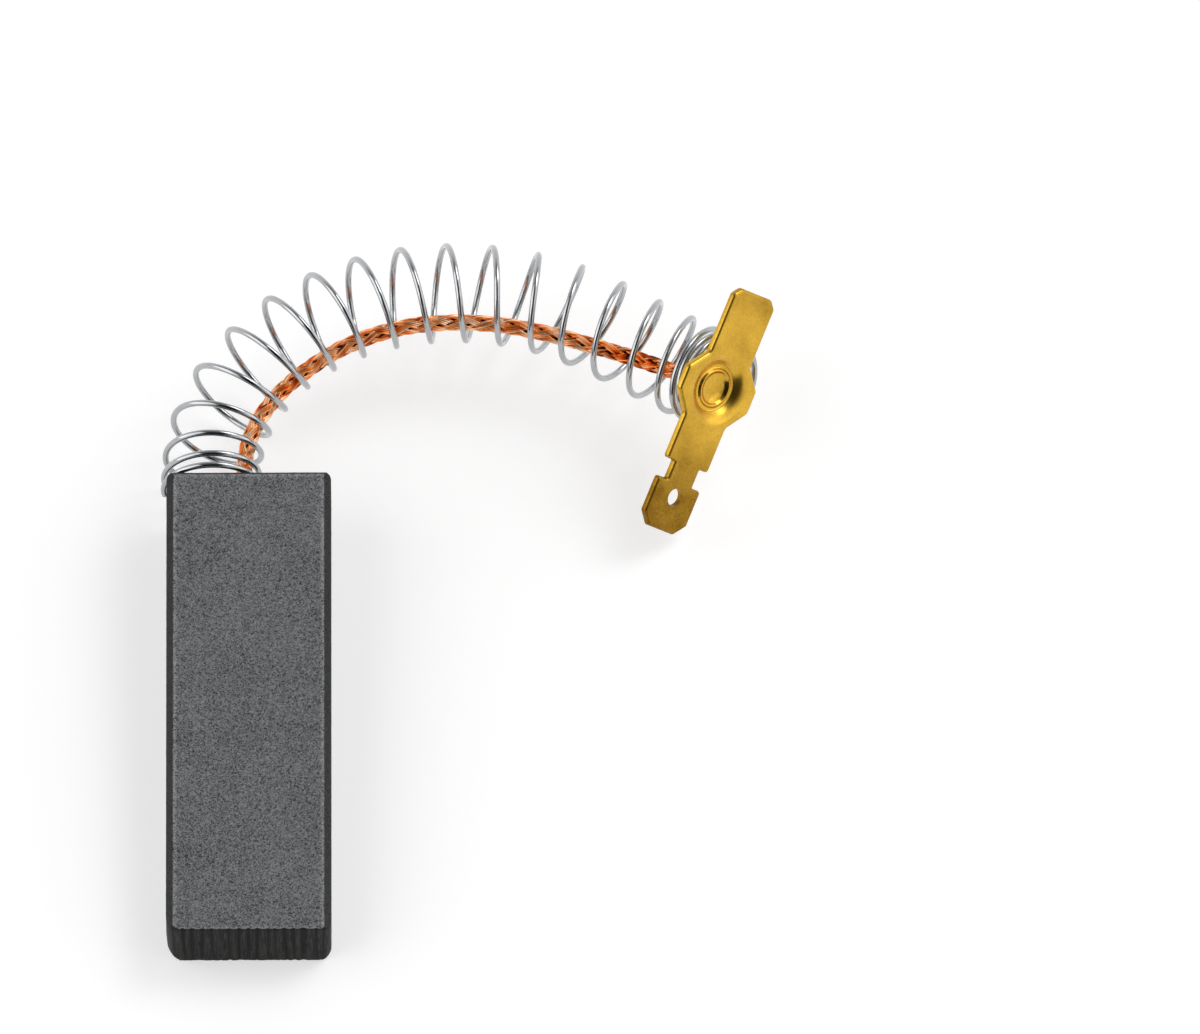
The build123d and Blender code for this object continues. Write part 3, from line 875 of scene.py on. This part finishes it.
bmesh.ops.transform(strip_mesh, matrix=to_strip, verts=strip_mesh.verts)
for face in strip_mesh.faces:
    face.smooth = True
for edge in strip_mesh.edges:
    edge.smooth = edge.calc_face_angle(0) < smooth_below
strip = new_piece("terminal_strip", bpy.data.meshes.new("terminal_strip"))
strip_mesh.to_mesh(strip.data)


def brass(name, roughness, seed):
    """Brass with rolling marks along the strip, faint specks, and painted shade towards its ends.
    """
    finish, tree, shader = finish_of(name, {"Metallic": 1.0})
    place = add(tree, "ShaderNodeTexCoord")["Object"]
    place = add(tree, "ShaderNodeVectorMath", {0: place, 1: mouth}, operation="SUBTRACT")
    parts = [
        add(tree, "ShaderNodeVectorMath", {0: place[0], 1: way}, operation="DOT_PRODUCT")["Value"]
        for way in (strip_length, strip_across, strip_normal)
    ]
    place = add(tree, "ShaderNodeCombineXYZ", dict(enumerate(parts)))
    place = add(tree, "ShaderNodeVectorMath", {0: place[0], 1: (seed, 0, 0)}, operation="ADD")
    clouds = {"Vector": place[0], "Scale": 1 / brass_patch, "Detail": 5}
    clouds = add(tree, "ShaderNodeTexNoise", clouds)
    specks = {"Vector": place[0], "Scale": 1 / brass_speck, "Detail": 3}
    specks = add(tree, "ShaderNodeTexNoise", specks)
    ends = []
    # Painted shade, darker towards the tab's end and towards the arm's end
    for start, full, amount in (tab_shade, arm_shade):
        tone_shift = {"Value": parts[0], "From Min": start, "From Max": full, "To Max": amount}
        ends.append(add(tree, "ShaderNodeMapRange", tone_shift)[0])
    dull_and_shade = add(tree, "ShaderNodeMath", {0: ends[0], 1: ends[1]}, operation="ADD")
    dull_and_shade = add(tree, "ShaderNodeMath", {0: clouds[0], 1: 1.1, 2: dull_and_shade[0]}, operation="MULTIPLY_ADD")
    dull_and_shade = {0: specks[0], 1: 0.55, 2: dull_and_shade[0]}
    dull_and_shade = add(tree, "ShaderNodeMath", dull_and_shade, operation="MULTIPLY_ADD")
    dull_and_shade = add(tree, "ShaderNodeMapRange", {"Value": dull_and_shade[0], "From Min": 0.55, "From Max": 1.7})
    colour = {"Factor": dull_and_shade[0], 6: linear("#E2B444"), 7: linear("#805C16")}
    colour = add(tree, "ShaderNodeMix", colour, data_type="RGBA")
    tree.links.new(colour[2], shader.inputs["Base Color"])
    gloss = {"Value": dull_and_shade[0], "To Min": roughness, "To Max": roughness + 0.15}
    gloss = add(tree, "ShaderNodeMapRange", gloss)
    tree.links.new(gloss[0], shader.inputs["Roughness"])
    stretched = {0: place[0], 1: (0.1, 1, 1)}
    stretched = add(tree, "ShaderNodeVectorMath", stretched, operation="MULTIPLY")
    marks = {"Vector": stretched[0], "Scale": 1 / rolling_mark, "Detail": 3}
    marks = add(tree, "ShaderNodeTexNoise", marks)
    bump = add(tree, "ShaderNodeBump", {"Height": marks[0], "Distance": 0.01 * MM, "Strength": 0.3})
    tree.links.new(bump[0], shader.inputs["Normal"])
    return finish


strip.data.materials.append(brass("rolled_brass_strip", 0.25, 0))
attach(strip, "root")
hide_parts("terminal")

# Rivet
# Hollow brass rivet: its dished head sits in the dimple, and its tube is closed on the shunt.
rivet_sides = 96
# Radius and height over the dimple's floor, in mm, from the middle of the head over its rim to the
# end of the tube, and back inside
head_profile = [
    (0, 0.06),
    (0.5, 0.07),
    (0.85, 0.1),
    (1.1, 0.18),
    (1.27, 0.32),
    (1.33, 0.4),
    (1.37, 0.44),
    (1.43, 0.44),
    (1.48, 0.41),
    (1.51, 0.36),
    (1.54, 0.31),
    (1.58, 0.275),
    (1.64, 0.25),
    (1.7, 0.243),
    (1.76, 0.25),
    (1.82, 0.271),
    (1.87, 0.3),
    (1.86, 0.288),
    (1.78, 0.228),
    (1.7, 0.175),
    (1.6, 0.118),
    (1.5, 0.072),
    (1.35, 0.03),
    (1.2, 0.01),
    (1.08, 0.01),
    (1.05, -0.04),
    (1.05, -1.5),
    (1.02, -1.8),
    (0.98, -1.95),
    (0.93, -2.0),
    (0.72, -2.0),
    (0.67, -1.93),
    (0.67, -0.01),
    (0, -0.01),
]
rivet_mesh = bmesh.new()
rings = []
for radius, height in head_profile:
    z = height * MM - dimple_depth
    spots = circle(0, 0, radius * MM, rivet_sides if radius else 1)
    rings.append([rivet_mesh.verts.new((*spot, z)) for spot in spots])
for upper, lower in zip(rings, rings[1:]):
    for i in range(rivet_sides):
        j = (i + 1) % rivet_sides
        around = [upper[i % len(upper)], upper[j % len(upper)]]
        around += [lower[j % len(lower)], lower[i % len(lower)]]
        rivet_mesh.faces.new(dict.fromkeys(around))
bmesh.ops.recalc_face_normals(rivet_mesh, faces=rivet_mesh.faces)
bmesh.ops.transform(rivet_mesh, matrix=to_strip, verts=rivet_mesh.verts)
for face in rivet_mesh.faces:
    face.smooth = True
rivet = new_piece("hollow_rivet", bpy.data.meshes.new("hollow_rivet"))
rivet_mesh.to_mesh(rivet.data)
# Turned brass, glossier than the strip
rivet.data.materials.append(brass("turned_brass", 0.15, 0.05))
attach(rivet, "root")
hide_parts("shunt_rivet")
